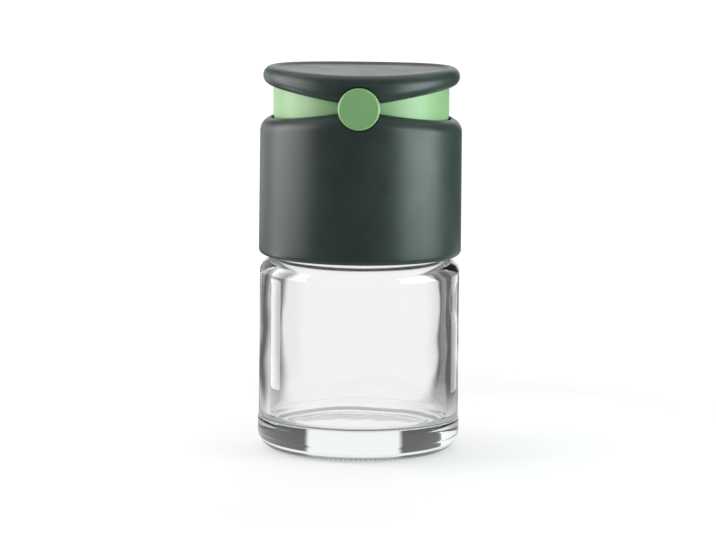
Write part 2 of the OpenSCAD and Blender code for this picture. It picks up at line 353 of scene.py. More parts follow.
@dataclass(frozen=True)
class ClearGlass:
    """Pressed clear glass, slightly green in its depth, with soft waves and a trace of handling.

    The standing ring under it is ground and rough, with painted shade that darkens its tone, over spans of
    height and reach in millimetres.
    """

    name: str
    tint: Colour
    depth_colour: Colour
    depth_density: float
    wave_size: float
    wave_depth: float
    film_roughness: float
    ring_painted_shade_tone: Colour
    ground_roughness: float
    ground_and_shade_height: Span
    ground_and_shade_reach: Span
    film_size: float = 14.0
    film_edge: Span = (0.5, 0.85)
    film_shade: float = 0.02
    index: float = 1.5

    def material(self) -> bpy.types.Material:
        """Builds the finish.

        Returns:
            The new material.
        """
        material, graph = new_material(self.name)
        place = graph.place()
        film = graph.noise(place, self.film_size, detail=5.0, roughness=0.6).fade(self.film_edge)
        wave = graph.noise(place, self.wave_size, detail=1.0)
        _, _, height = graph.split(place)
        # Painted shade: the glass at the standing ring takes a darker tone, and it is also made rougher
        ground_and_painted_shade = height.fade(self.ground_and_shade_height, MM) * graph.reach(place).fade(self.ground_and_shade_reach, MM)
        tone = graph.mix(film, self.tint, toned(self.tint, 1 - self.film_shade))
        depth = {"Color": self.depth_colour, "Density": self.depth_density}
        graph.surface(
            {
                "Base Color": graph.mix(ground_and_painted_shade, tone, self.ring_painted_shade_tone),
                "Roughness": film * self.film_roughness + ground_and_painted_shade * self.ground_roughness,
                "IOR": self.index,
                "Transmission Weight": 1.0,
                "Normal": graph.bump(wave, self.wave_depth),
            },
            {"Volume": graph.node("ShaderNodeVolumeAbsorption", {}, depth)},
        )
        return material


@dataclass(frozen=True)
class DarkFlags:
    """Dark cards behind the object on both sides, which give clear glass its dark edges.

    Angles are in degrees from straight behind, and those on the right are positive. Past the cards, light
    through glass comes from an open room.
    """

    left: Span
    right: Span

    def clear(self, turn: Wire) -> Wire:
        """Share of open room at an angle in degrees."""
        return turn.fade(self.right).at_least(turn.fade(self.left))


FLAGS = DarkFlags(left=(-36.0, -62.0), right=(80.0, 95.0))


@dataclass(frozen=True)
class FloorFinish:
    """White table that fades into the background and keeps the object's shadow.

    The picture sees an even white. Glass and gloss see a table that is pale near the object and dims
    further out, a ring of painted contact shadow at the foot and a white lane that runs to the back. Glass
    also sees a pale table past the dark cards. What the table lights gets an even grey from it.
    """

    name: str
    white: float
    glow: float
    far_white: float
    far: Span
    bounce: float
    dim: float
    under_level: float
    under: Span
    # Painted contact shadow: level, radius and width of the grey ring round the foot
    painted_shadow_ring_level: float
    ring_r: float
    painted_shadow_ring_w: float
    lane_level: float
    left_lane: float
    right_lane: float
    left_flare: float
    right_flare: float
    lane_blur: float
    roughness: float = 0.9

    def material(self) -> bpy.types.Material:
        """Builds the finish.

        Returns:
            The new material.
        """
        material, graph = new_material(self.name)
        place = graph.place()
        across, along, _ = graph.split(place)
        reach = graph.reach(place)
        edge = (self.lane_blur, -self.lane_blur)
        in_left = (0 - across - along * self.left_flare - self.left_lane * MM).fade(edge, MM)
        in_right = (across - along * self.right_flare - self.right_lane * MM).fade(edge, MM)
        lane = in_left * in_right * along.fade(edge[::-1], MM)
        far = reach.fade(self.far, MM)
        turn = across.angle_from(along) * math.degrees(1)
        clear = FLAGS.clear(turn) * graph.light_path("Is Transmission Ray")
        under = reach.fade(self.under, MM).at_least(clear)
        # Painted contact shadow: a grey ring on the table round the jar's foot, which glass and gloss see
        ring = abs(reach - self.ring_r * MM).fade((self.painted_shadow_ring_w, 0.0), MM)
        mirrored = graph.mix(under, grey(self.dim), grey(self.under_level))
        mirrored = graph.mix(lane, mirrored, grey(self.lane_level))
        mirrored = graph.mix(ring, mirrored, grey(self.painted_shadow_ring_level))
        bounced = graph.light_path("Diffuse Depth").at_most(1.0)
        unseen = graph.mix(bounced, mirrored, grey(self.bounce))
        seen = graph.light_path("Is Camera Ray")
        white = graph.mix(far, grey(self.glow), grey(self.far_white))
        graph.surface({
            "Base Color": graph.mix(seen * (1 - far), grey(0.0), grey(self.white)),
            "Roughness": self.roughness,
            "Specular IOR Level": 0.0,
            "Emission Color": graph.mix(seen, unseen, white),
            "Emission Strength": 1.0,
        })
        return material


CLEAR_GLASS = ClearGlass(
    name="pressed_clear_glass",
    tint=(0.991, 0.99, 0.992),
    depth_colour=(0.8, 0.86, 0.85),
    depth_density=9.0,
    wave_size=7.0,
    wave_depth=0.02,
    film_roughness=0.03,
    # painted shade of the standing ring
    ring_painted_shade_tone=(0.2, 0.24, 0.23),
    ground_roughness=0.25,
    ground_and_shade_height=(1.8, 1.2),
    ground_and_shade_reach=(23.328, 24.3),
)
SOFT_DARK = MouldedPlastic(
    name="soft_touch_dark_green",
    colour=(0.022, 0.039, 0.036),
    tone_spread=0.15,
    roughness=0.4,
    roughness_spread=0.06,
    grain_size=0.32,
    grain_depth=0.014,
    specular=0.55,
)
SATIN_GREEN = MouldedPlastic(
    name="satin_light_green",
    colour=(0.25, 0.49, 0.203),
    tone_spread=0.035,
    roughness=0.4,
    roughness_spread=0.06,
    grain_size=0.3,
    grain_depth=0.006,
    specular=0.55,
    glow=0.06,
)
# The pivots' green made paler and greyer on the drum, with more specular: the colour change is painted
# sheen
DRUM_GREEN_PAINTED_SHEEN = replace(SATIN_GREEN, name="satin_drum_green_painted_sheen", colour=(0.28, 0.49, 0.23), specular=0.6)
SEAL_SILICONE = MouldedPlastic(
    name="pale_seal_silicone",
    colour=(0.56, 0.6, 0.57),
    tone_spread=0.05,
    roughness=0.45,
    roughness_spread=0.08,
    grain_size=0.4,
    grain_depth=0.01,
    specular=0.4,
    glow=0.15,
)
PALE_LINER = MouldedPlastic(
    name="pale_liner",
    colour=(0.78, 0.8, 0.78),
    tone_spread=0.04,
    roughness=0.4,
    roughness_spread=0.06,
    grain_size=0.4,
    grain_depth=0.008,
    glow=0.2,
)
WHITE_TABLE = FloorFinish(
    name="white_table",
    white=0.5,
    glow=0.46,
    far_white=1.12,
    far=(100.0, 205.0),
    bounce=0.6,
    dim=0.12,
    under_level=0.85,
    under=(150.0, 20.0),
    # painted contact shadow round the jar's foot
    painted_shadow_ring_level=0.45,
    ring_r=26.5,
    painted_shadow_ring_w=4.5,
    lane_level=0.97,
    left_lane=20.0,
    right_lane=3.5,
    left_flare=0.24,
    right_flare=0.335,
    lane_blur=9.0,
)


class Outline:
    """Half section of a turned piece, in millimetres, drawn as straight runs and arcs."""

    def __init__(self, r: float, z: float) -> None:
        """Starts at a radius and a height."""
        self.points: list[Point] = [(r, z)]

    def line(self, r: float, z: float, steps: int = 1) -> "Outline":
        """Adds a straight run of evenly spaced points.

        Args:
            r: Radius of the run's end.
            z: Height of its end.
            steps: Points along the run.

        Returns:
            The outline, so that calls can be chained.
        """
        r0, z0 = self.points[-1]
        for step in range(1, steps + 1):
            share = step / steps
            self.points.append((r0 + (r - r0) * share, z0 + (z - z0) * share))
        return self

    def arc(self, r: float, z: float, radius: float, start: float, end: float, steps: int) -> "Outline":
        """Adds an arc.

        Args:
            r: Radius of the arc's centre from the axis.
            z: Height of the arc's centre.
            radius: Radius of the arc.
            start: Angle of the arc's first point in degrees, 0 outward and 90 up.
            end: Angle of its last point in degrees.
            steps: Points along the arc.

        Returns:
            The outline, so that calls can be chained.
        """
        for step in range(steps + 1):
            turn = math.radians(start + (end - start) * step / steps)
            point = (r + radius * math.cos(turn), z + radius * math.sin(turn))
            if math.dist(point, self.points[-1]) > SAME_POINT:
                self.points.append(point)
        return self

    def array(self) -> np.ndarray:
        """Points as rows of radius and height."""
        return np.array(self.points)


def angles(count: int) -> np.ndarray:
    """Evenly spaced angles round the axis, in radians."""
    return np.arange(count) * (2 * math.pi / count)


def smooth(share: np.ndarray) -> np.ndarray:
    """Smooth step of shares from 0 to 1."""
    return share * share * (3 - 2 * share)


def spread(row: np.ndarray, count: int = FINE_AROUND) -> np.ndarray:
    """Repeats a row of values at every step round the axis."""
    return np.repeat(row[None, :], count, axis=0)


def swept(radii: np.ndarray, heights: np.ndarray) -> np.ndarray:
    """Turns radii and heights into points round the vertical axis.

    Args:
        radii: Radii in millimetres, by step round the axis and place along the profile.
        heights: Heights in millimetres, laid out in the same way.

    Returns:
        Points by step round the axis and place along the profile.
    """
    turn = angles(len(radii))[:, None]
    return np.stack([radii * np.cos(turn), radii * np.sin(turn), heights], axis=2)


def turned(profile: np.ndarray, count: int = FINE_AROUND) -> np.ndarray:
    """Points of a half section, rows of radius and height, turned round the vertical axis."""
    return swept(spread(profile[:, 0], count), spread(profile[:, 1], count))


def link(data: bpy.types.ID, name: str) -> bpy.types.Object:
    """Puts a mesh, lamp or camera in the scene.

    Args:
        data: The mesh, lamp or camera.
        name: Name of the new object.

    Returns:
        The new object.
    """
    made = bpy.data.objects.new(name, data)
    bpy.context.scene.collection.objects.link(made)
    return made


def skin(name: str, grid: np.ndarray, ends: Ends) -> bpy.types.Object:
    """Closed skin over a grid of points.

    Args:
        name: Name of the piece.
        grid: Points in millimetres, by step round the axis and place along the profile.
        ends: How the profile closes.

    Returns:
        The new object, in metres.
    """
    count = len(grid)
    looped = ends is Ends.LOOP
    body = grid if looped else grid[:, 1:-1]
    along = body.shape[1]
    points = body.reshape(-1, 3)
    first_pole = len(points)
    if not looped:
        points = np.vstack([points, grid[0, :1], grid[0, -1:]])
    faces: list[tuple[int, ...]] = []
    for i in range(count):
        here = i * along
        there = (i + 1) % count * along
        if not looped:
            faces.append((first_pole, there, here))
            faces.append((first_pole + 1, here + along - 1, there + along - 1))
        for j in range(along if looped else along - 1):
            n = (j + 1) % along
            faces.append((here + j, there + j, there + n, here + n))
    mesh = bpy.data.meshes.new(name)
    mesh.from_pydata((points * MM).tolist(), [], faces)
    work = bmesh.new()
    work.from_mesh(mesh)
    bmesh.ops.recalc_face_normals(work, faces=work.faces[:])
    work.to_mesh(mesh)
    work.free()
    return link(mesh, name)


def place_mesh(piece: bpy.types.Object, matrix: Matrix) -> bpy.types.Object:
    """Moves the vertices of a piece, so that its object stays at the origin."""
    piece.data.transform(matrix)
    return piece


def facing(side: Side, height: float) -> Matrix:
    """Turns a piece made up the vertical axis so that it points along the pivot axis.

    Args:
        side: End of the pivot axis that it points to.
        height: Height of the pivot axis in millimetres.

    Returns:
        The matrix, in metres.
    """
    lift = Matrix.Translation((0, 0, height * MM))
    return lift @ Matrix.Rotation(math.radians(90 * side.value), 4, "X")


def rod(
    name: str, radius: float, start: float, end: float, spot: Matrix, count: int = ROD_AROUND
) -> bpy.types.Object:
    """Closed round bar for booleans.

    Args:
        name: Name of the bar.
        radius: Radius in millimetres.
        start: Place of its first end along its own axis, in millimetres.
        end: Place of its other end.
        spot: Matrix that takes the bar from the vertical axis to its place.
        count: Steps round the bar.

    Returns:
        The bar in its place.
    """
    profile = Outline(0, start).line(radius, start).line(radius, end).line(0, end)
    return place_mesh(skin(name, turned(profile.array(), count), Ends.POLES), spot)


def carve(body: bpy.types.Object, tool: bpy.types.Object, how: Carve) -> None:
    """Joins a tool to a body or cuts it away, and removes the tool.

    Args:
        body: Piece that is changed.
        tool: Closed piece that is added or cut away.
        how: Whether it is added or cut.
    """
    step = body.modifiers.new("carve", "BOOLEAN")
    step.operation = how.value
    step.solver = "EXACT"
    step.object = tool
    bpy.context.view_layer.update()
    made = bpy.data.meshes.new_from_object(body.evaluated_get(bpy.context.evaluated_depsgraph_get()))
    body.modifiers.clear()
    old = body.data
    made.name = body.name
    body.data = made
    bpy.data.meshes.remove(old)
    bpy.data.meshes.remove(tool.data)


def soften(piece: bpy.types.Object, chosen: Callable[[Vector], bool], width: float) -> None:
    """Rounds the sharp edges of a piece that lie where the test says.

    Args:
        piece: Piece that is changed.
        chosen: Test on a point in millimetres; both ends of an edge have to pass.
        width: Width of the rounding in millimetres.
    """
    work = bmesh.new()
    work.from_mesh(piece.data)
    sharp = [
        edge
        for edge in work.edges
        if len(edge.link_faces) == 2
        and edge.calc_face_angle() > SMOOTH_ANGLE
        and all(chosen(vertex.co / MM) for vertex in edge.verts)
    ]
    bmesh.ops.bevel(
        work, geom=sharp, offset=width * MM, segments=3, profile=0.5, affect="EDGES", clamp_overlap=True
    )
    work.to_mesh(piece.data)
    work.free()


def dress_piece(
    piece: bpy.types.Object, finish: bpy.types.Material, slot: Slot, body: str, *nodes: str
) -> None:
    """Gives a piece its finish, its body and the CAD nodes that it stands for.

    Args:
        piece: Finished mesh.
        finish: Material of the whole piece.
        slot: Slot of the record; not used.
        body: CAD body that it moves with.
        nodes: CAD nodes that it replaces.
    """
    mesh = piece.data
    mesh.materials.clear()
    mesh.materials.append(finish)
    mesh.polygons.foreach_set("use_smooth", [True] * len(mesh.polygons))
    mesh.set_sharp_from_angle(angle=SMOOTH_ANGLE)
    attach(piece, body)
    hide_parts(*nodes)
    log.info("%s: %d faces on %s", piece.name, len(mesh.polygons), body)


@dataclass
class Layout:
    """Places that several pieces share, read from the frame."""

    pivot_z: float
    pivot_head_r: float
    pivot_face_y: float
    pin_end_y: float
    drum_r: float
    drum_low_z: float
    roof_z: float
    head_gap: float = 0.4

    @classmethod
    def from_frame(cls) -> "Layout":
        """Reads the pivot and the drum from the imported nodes.

        Returns:
            The layout, in millimetres.
        """
        low, high = (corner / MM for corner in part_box("front_pivot"))
        drum_low, drum_high = (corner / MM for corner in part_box("dispensing_drum"))
        return cls(
            pivot_z=(low.z + high.z) / 2,
            pivot_head_r=(high.x - low.x) / 2,
            pivot_face_y=-low.y,
            pin_end_y=-high.y,
            drum_r=drum_high.x,
            drum_low_z=drum_low.z,
            roof_z=drum_high.z,
        )

    @property
    def notch_r(self) -> float:
        """Radius of the notches round the pivot heads."""
        return self.pivot_head_r + self.head_gap

    def notch_rim(self, beyond: float) -> Callable[[Vector], bool]:
        """Makes a test for the rims of the notches.

        Args:
            beyond: Distance from the middle, front to back, past which a rim counts, in millimetres.

        Returns:
            The test, on a point in millimetres.
        """

        def on_rim(point: Vector) -> bool:
            """True on the rim of a notch."""
            reach = math.hypot(point.x, point.z - self.pivot_z)
            return abs(reach - self.notch_r) < NEAR and abs(point.y) > beyond

        return on_rim


@dataclass(frozen=True)
class Ripple:
    """One wave round the glass wall."""

    share: float
    laps: int
    climb: float
    phase: float = 0.0

    def height(self, turn: np.ndarray, rise: np.ndarray) -> np.ndarray:
        """Height of the wave by angle round the axis and by rise up the wall, both in radians."""
        return self.share * np.sin(self.laps * turn + self.climb * rise + self.phase)


SLOW_RIPPLES = (Ripple(1.0, laps=2, climb=0.6, phase=0.8), Ripple(0.6, laps=3, climb=-0.9, phase=2.1))
QUICK_RIPPLES = (Ripple(0.35, laps=5, climb=2.1), Ripple(0.25, laps=7, climb=-3.2, phase=1.3))


@dataclass
class GlassJar:
    """Thick glass jar with a threaded neck, an uneven inner wall and a knurled standing ring."""

    foot_r: float = 29.95
    rim_z: float = 75.5
    body_r: float = 29.7
    shoulder_z: float = 57.5
    wall: float = 3.4
    floor: float = 8.3
    shoulder_t: float = 2.0
    heel_r: float = 5.6
    shoulder_round: float = 5.0
    inner_heel_r: float = 3.0
    inner_top_r: float = 1.4
    band_h: float = 9.6
    band_edge: float = 0.2
    bearing_w: float = 2.75
    recess: float = 3.3
    recess_round: float = 2.0
    neck_r: float = 25.7
    neck_wall: float = 2.2
    neck_fillet: float = 0.8
    rim_r: float = 0.8
    lip_r: float = 1.4
    thread_pitch: float = 4.2
    thread_turns: float = 1.25
    thread_h: float = 0.9
    thread_root: float = 2.0
    thread_crest: float = 0.9
    thread_drop: float = 3.4
    thread_lead: float = 40.0
    knurl_count: int = 108
    knurl_depth: float = 0.5
    knurl_share: float = 0.14
    around: int = 432
    inner_wave: float = 0.22
    outer_wave: float = 0.02
    calm_h: float = 14.0

    @property
    def bearing_r(self) -> float:
        """Outer radius of the standing ring."""
        return self.foot_r - self.heel_r

    @property
    def ring_r(self) -> float:
        """Inner radius of the standing ring."""
        return self.bearing_r - self.bearing_w

    @property
    def cavity_z(self) -> float:
        """Height of the shoulder's underside."""
        return self.shoulder_z - self.shoulder_t

    @property
    def thread_start(self) -> float:
        """Height of the thread's lower end."""
        return self.rim_z - self.thread_drop - self.thread_pitch * self.thread_turns

    def outline(self) -> np.ndarray:
        """Draws the half section from the middle of the foot, up the outside and down to the floor.

        Returns:
            Rows of radius and height in millimetres.
        """
        bore_r = self.neck_r - self.neck_wall
        cavity_r = self.body_r - self.wall
        heel_z = self.floor + self.inner_heel_r
        top_r = self.inner_top_r
        rim_z = self.rim_z - self.rim_r
        lip_z = self.cavity_z + self.lip_r
        edge_z = self.band_h - self.band_edge
        round_r = self.body_r - self.shoulder_round
        round_z = self.shoulder_z - self.shoulder_round
        fillet_r = self.neck_r + self.neck_fillet
        meeting = math.acos((fillet_r - round_r) / self.shoulder_round)
        fillet_z = round_z + self.shoulder_round * math.sin(meeting) + self.neck_fillet
        recess_r = self.ring_r - self.recess_round
        shape = Outline(0, self.recess)
        shape.line(recess_r, self.recess, 4)
        shape.arc(recess_r, self.recess - self.recess_round, self.recess_round, 90, 0, 12)
        shape.line(self.ring_r, 0, 4)
        shape.line(self.bearing_r, 0, 4)
        shape.arc(self.bearing_r, self.heel_r, self.heel_r, -90, 0, 20)
        shape.line(self.foot_r, edge_z, 3)
        shape.arc(self.foot_r - self.band_edge, edge_z, self.band_edge, 0, 80, 3)
        shape.line(self.body_r, self.band_h)
        shape.line(self.body_r, round_z, 16)
        shape.arc(round_r, round_z, self.shoulder_round, 0, math.degrees(meeting), 16)
        shape.arc(fillet_r, fillet_z, self.neck_fillet, -90, -180, 6)
        shape.line(self.neck_r, self.thread_start - self.thread_root, 3)
        shape.line(self.neck_r, self.rim_z - self.thread_drop + self.thread_root, 36)
        shape.line(self.neck_r, rim_z, 2)
        shape.arc(self.neck_r - self.rim_r, rim_z, self.rim_r, 0, 90, 6)
        shape.arc(bore_r + self.rim_r, rim_z, self.rim_r, 90, 180, 6)
        shape.line(bore_r, lip_z, 6)
        shape.arc(bore_r + self.lip_r, lip_z, self.lip_r, 180, 270, 8)
        shape.arc(cavity_r - top_r, self.cavity_z - top_r, top_r, 90, 0, 12)
        shape.line(cavity_r, heel_z, 26)
        shape.arc(cavity_r - self.inner_heel_r, heel_z, self.inner_heel_r, 0, -90, 16)
        shape.line(0, self.floor, 10)
        return shape.array()

    def thread_height(self, turn: np.ndarray, z: np.ndarray) -> np.ndarray:
        """Height of the thread ridge over the neck.

        Args:
            turn: Angles round the axis in radians.
            z: Heights in millimetres.

        Returns:
            Ridge heights in millimetres.
        """
        sweep = 360 * self.thread_turns
        slope = (self.thread_root - self.thread_crest) / 2
        ridge = np.zeros(np.broadcast(turn, z).shape)
        for lap in range(math.ceil(self.thread_turns)):
            a = np.degrees(turn) + 360 * lap
            fade = np.clip(np.minimum(a, sweep - a) / self.thread_lead, 0, 1)
            off = np.abs(z - self.thread_start - self.thread_pitch * a / 360)
            body = np.clip((self.thread_root / 2 - off) / slope, 0, 1)
            ridge = np.maximum(ridge, self.thread_h * fade * smooth(body))
        return ridge

    def build(self) -> bpy.types.Object:
        """Makes the jar's mesh.

        Returns:
            The closed glass piece.
        """
        profile = self.outline()
        r, z = profile[:, 0], profile[:, 1]
        turn = angles(self.around)[:, None]
        inner = np.arange(len(r)) > int(np.argmax(z))
        on_neck = ~inner & (z > self.shoulder_z + self.neck_fillet)
        on_cavity = inner & (z < self.cavity_z)
        on_body = ~inner & (z > self.band_h) & (z < self.shoulder_z)
        on_ring = ~inner & (z < self.knurl_share * self.heel_r) & (r > self.ring_r + MARGIN)
        rise = 2 * math.pi * z[None, :] / self.shoulder_z
        slow = sum(ripple.height(turn, rise) for ripple in SLOW_RIPPLES)
        quick = sum(ripple.height(turn, rise) for ripple in QUICK_RIPPLES)
        slow_top = sum(ripple.share for ripple in SLOW_RIPPLES)
        # The inner wall is even at the floor, and the outer wall only ever draws in
        calm = np.clip((z[None, :] - self.floor - self.inner_heel_r / 2) / self.calm_h, 0, 1)
        radii = spread(r, self.around)
        radii += np.where(on_neck, self.thread_height(turn, z[None, :]), 0)
        radii += np.where(on_cavity, self.inner_wave * calm * (slow + quick) / 2, 0)
        radii += np.where(on_body, self.outer_wave * (slow - slow_top) / 2, 0)
        notch = (0.5 - 0.5 * np.cos(self.knurl_count * turn)) ** 2
        heights = spread(z, self.around) + np.where(on_ring, self.knurl_depth * notch, 0)
        return skin("jar_glass", swept(radii, heights), Ends.POLES)

    def dress(self, finish: bpy.types.Material) -> None:
        """Builds the jar and gives it its finish."""
        dress_piece(self.build(), finish, Slot.GLASS, "jar", "glass_jar")


@dataclass
class Collar:
    """Tall dark collar with a bow-shaped top edge and two ears that carry the pivots."""

    layout: Layout
    foot_r: float = 30.0
    foot_z: float = 58.0
    draft: float = 0.15
    low_r: float = 1.6
    top_r: float = 4.0
    slope: float = 9.5
    crest: float = 0.5
    mouth_r: float = 26.55
    mouth_edge: float = 0.3
    lip_r: float = 25.78
    lip_z: float = 96.05
    lip_t: float = 1.2
    bore_r: float = 26.15
    skirt_r: float = 28.25
    skirt_h: float = 21.45
    wall_rows: int = 24
    ear_y: float = 28.4
    ear_r: float = 5.7
    ear_overlap: float = 0.04
    pin_r: float = 2.52
    edge_round: float = 0.25

    def shell(self) -> bpy.types.Object:
        """Makes the collar's wall without ears or notches.

        Returns:
            The closed ring.
        """
        turn = angles(FINE_AROUND)[:, None]
        fall = math.tan(math.radians(self.slope)) * self.mouth_r * np.abs(np.cos(turn))
        crest_z = self.layout.pivot_z - self.crest - fall
        top_radius = self.foot_r - self.draft
        centre_r = top_radius - self.top_r
        start = math.degrees(math.acos((self.mouth_r + self.mouth_edge - centre_r) / self.top_r))
        round_z = self.foot_z + self.low_r
        skirt_z = self.foot_z + self.skirt_h
        # Heights of the upper part are measured from the crest, and those of the lower part from the floor
        upper = Outline(self.mouth_r, -self.top_r)
        upper.line(self.mouth_r, -2 * self.mouth_edge, 6)
        upper.arc(centre_r, -self.top_r, self.top_r, start, 0, 18)
        wall = Outline(self.foot_r, round_z)
        wall.arc(self.foot_r - self.low_r, round_z, self.low_r, 0, -90, 10)
        wall.line(self.skirt_r, self.foot_z)
        wall.line(self.skirt_r, skirt_z, 4)
        wall.line(self.bore_r, skirt_z)
        wall.line(self.bore_r, self.lip_z, 3)
        wall.line(self.lip_r, self.lip_z)
        wall.line(self.lip_r, self.lip_z + self.lip_t)
        wall.line(self.mouth_r, self.lip_z + self.lip_t)
        top, low = upper.array(), wall.array()
        steps = np.linspace(0, 1, self.wall_rows)[1:-1]
        end_z = crest_z - self.top_r
        side_z = end_z + (round_z - end_z) * steps
        side_r = spread(top_radius + self.draft * steps)
        radii = np.hstack([spread(top[:, 0]), side_r, spread(low[:, 0])])
        heights = np.hstack([crest_z + top[:, 1], side_z, spread(low[:, 1])])
        return skin("collar_shell", swept(radii, heights), Ends.LOOP)

    def ear(self, side: Side) -> bpy.types.Object:
        """Makes the disc that stands behind one pivot head, with a back that follows the mouth.

        Args:
            side: End of the pivot axis.

        Returns:
            The closed disc in its place.
        """
        ring = angles(ROD_AROUND)
        x, up = self.ear_r * np.cos(ring), self.ear_r * np.sin(ring)
        back_r = self.mouth_r + self.ear_overlap
        rows = []
        for share in (0.0, 0.2, 0.5, 0.8, 1.0):
            rows.append(np.stack([share * x, share * up, np.sqrt(back_r**2 - (share * x) ** 2)], axis=1))
        for share in (1.0, 0.0):
            rows.append(np.stack([share * x, share * up, np.full(ROD_AROUND, self.ear_y)], axis=1))
        disc = skin("collar_ear", np.stack(rows, axis=1), Ends.POLES)
        return place_mesh(disc, facing(side, self.layout.pivot_z))

    def build(self) -> bpy.types.Object:
        """Makes the whole collar.

        Returns:
            The collar with its ears, notches and pin holes.
        """
        piece = self.shell()
        notch_r = self.layout.notch_r
        past = self.foot_r + CUT_OVER
        for side in Side:
            carve(piece, self.ear(side), Carve.ADD)
        for side in Side:
            spot = facing(side, self.layout.pivot_z)
            carve(piece, rod("collar_notch", notch_r, self.ear_y, past, spot, NOTCH_AROUND), Carve.CUT)
            hole = rod("collar_pin_hole", self.pin_r, self.mouth_r - CUT_OVER, self.foot_r, spot)
            carve(piece, hole, Carve.CUT)
        soften(piece, self.layout.notch_rim(self.ear_y + MARGIN), self.edge_round)
        return piece

    def dress(self, finish: bpy.types.Material) -> None:
        """Builds the collar and gives it its finish."""
        dress_piece(self.build(), finish, Slot.DARK, "head", "grip_collar")


@dataclass
class Lid:
    """Dark rocking lid with a dished top inside a soft lip, and a full round edge."""

    layout: Layout
    radius: float = 29.05
    rise: float = 9.45
    dish: float = 0.75
    recess: float = 0.7
    recess_from: float = 0.93
    edge_r: float = 3.0
    edge_flat: float = 0.1
    slope: float = 9.2
    crest: float = 0.4
    bore_r: float = 26.15
    bore_edge: float = 0.3
    ledge: float = 2.3
    top_t: float = 1.75
    post_r: float = 2.5
    post_x: float = 14.0
    post_low: float = 3.4
    post_into: float = 0.5
    rim_depth: float = 0.7
    edge_round: float = 0.25
    dish_rows: int = 14
    lip_rows: int = 12
    edge_rows: int = 18

    def shell(self) -> bpy.types.Object:
        """Makes the lid without notches or posts.

        Returns:
            The closed cap.
        """
        side = np.abs(np.cos(angles(FINE_AROUND)[:, None]))
        top_z = self.layout.pivot_z + self.rise
        edge_z = top_z + self.dish * side**2
        low_z = self.layout.pivot_z + self.crest
        low_z = low_z + math.tan(math.radians(self.slope)) * self.layout.drum_r * side
        edge = np.minimum(self.edge_r, (edge_z - low_z - self.edge_flat) / 2)
        flat_r = self.radius - edge
        dished = np.linspace(0, self.recess_from, self.dish_rows)
        lipped = np.linspace(self.recess_from, 1, self.lip_rows)[1:-1]
        share = np.append(dished, lipped)[None, :]
        lip = np.clip((share - self.recess_from) / (1 - self.recess_from), 0, 1)
        sunk = self.recess * (1 - smooth(lip))
        bend = np.radians(np.linspace(90, 0, self.edge_rows))[None, :]
        out, up = edge * np.cos(bend), edge * np.sin(bend)
        ceiling_z = top_z - self.top_t
        inside = Outline(self.bore_r, self.layout.roof_z)
        inside.line(self.bore_r - self.ledge, self.layout.roof_z, 2)
        inside.line(self.bore_r - self.ledge, ceiling_z, 2)
        inside.line(0, ceiling_z, 8)
        inner = inside.array()
        radii = np.hstack([
            flat_r * share,
            flat_r + out,
            np.maximum(flat_r + out[:, ::-1], self.bore_r),
            np.full_like(low_z, self.bore_r),
            spread(inner[:, 0]),
        ])
        heights = np.hstack([
            top_z + self.dish * side**2 * share**2 - sunk,
            edge_z - edge + up,
            low_z + edge - up[:, ::-1],
            low_z + self.bore_edge,
            spread(inner[:, 1]),
        ])
        return skin("lid_shell", swept(radii, heights), Ends.POLES)

    def build(self) -> bpy.types.Object:
        """Makes the whole lid.

        Returns:
            The lid with its notches and staking posts.
        """
        piece = self.shell()
        notch_r = self.layout.notch_r
        start, end = self.layout.drum_r - CUT_OVER, self.radius + CUT_OVER
        low = self.layout.roof_z - self.post_low
        top = self.layout.pivot_z + self.rise - self.top_t + self.post_into
        for side in Side:
            spot = facing(side, self.layout.pivot_z)
            carve(piece, rod("lid_notch", notch_r, start, end, spot, NOTCH_AROUND), Carve.CUT)
        for x in (self.post_x, -self.post_x):
            spot = Matrix.Translation((x * MM, 0, 0))
            carve(piece, rod("lid_post", self.post_r, low, top, spot, POST_AROUND), Carve.ADD)
        soften(piece, self.layout.notch_rim(self.bore_r - self.rim_depth), self.edge_round)
        return piece

    def dress(self, finish: bpy.types.Material) -> None:
        """Builds the lid and gives it its finish."""
        dress_piece(self.build(), finish, Slot.DARK, "rocker", "rocker_lid")


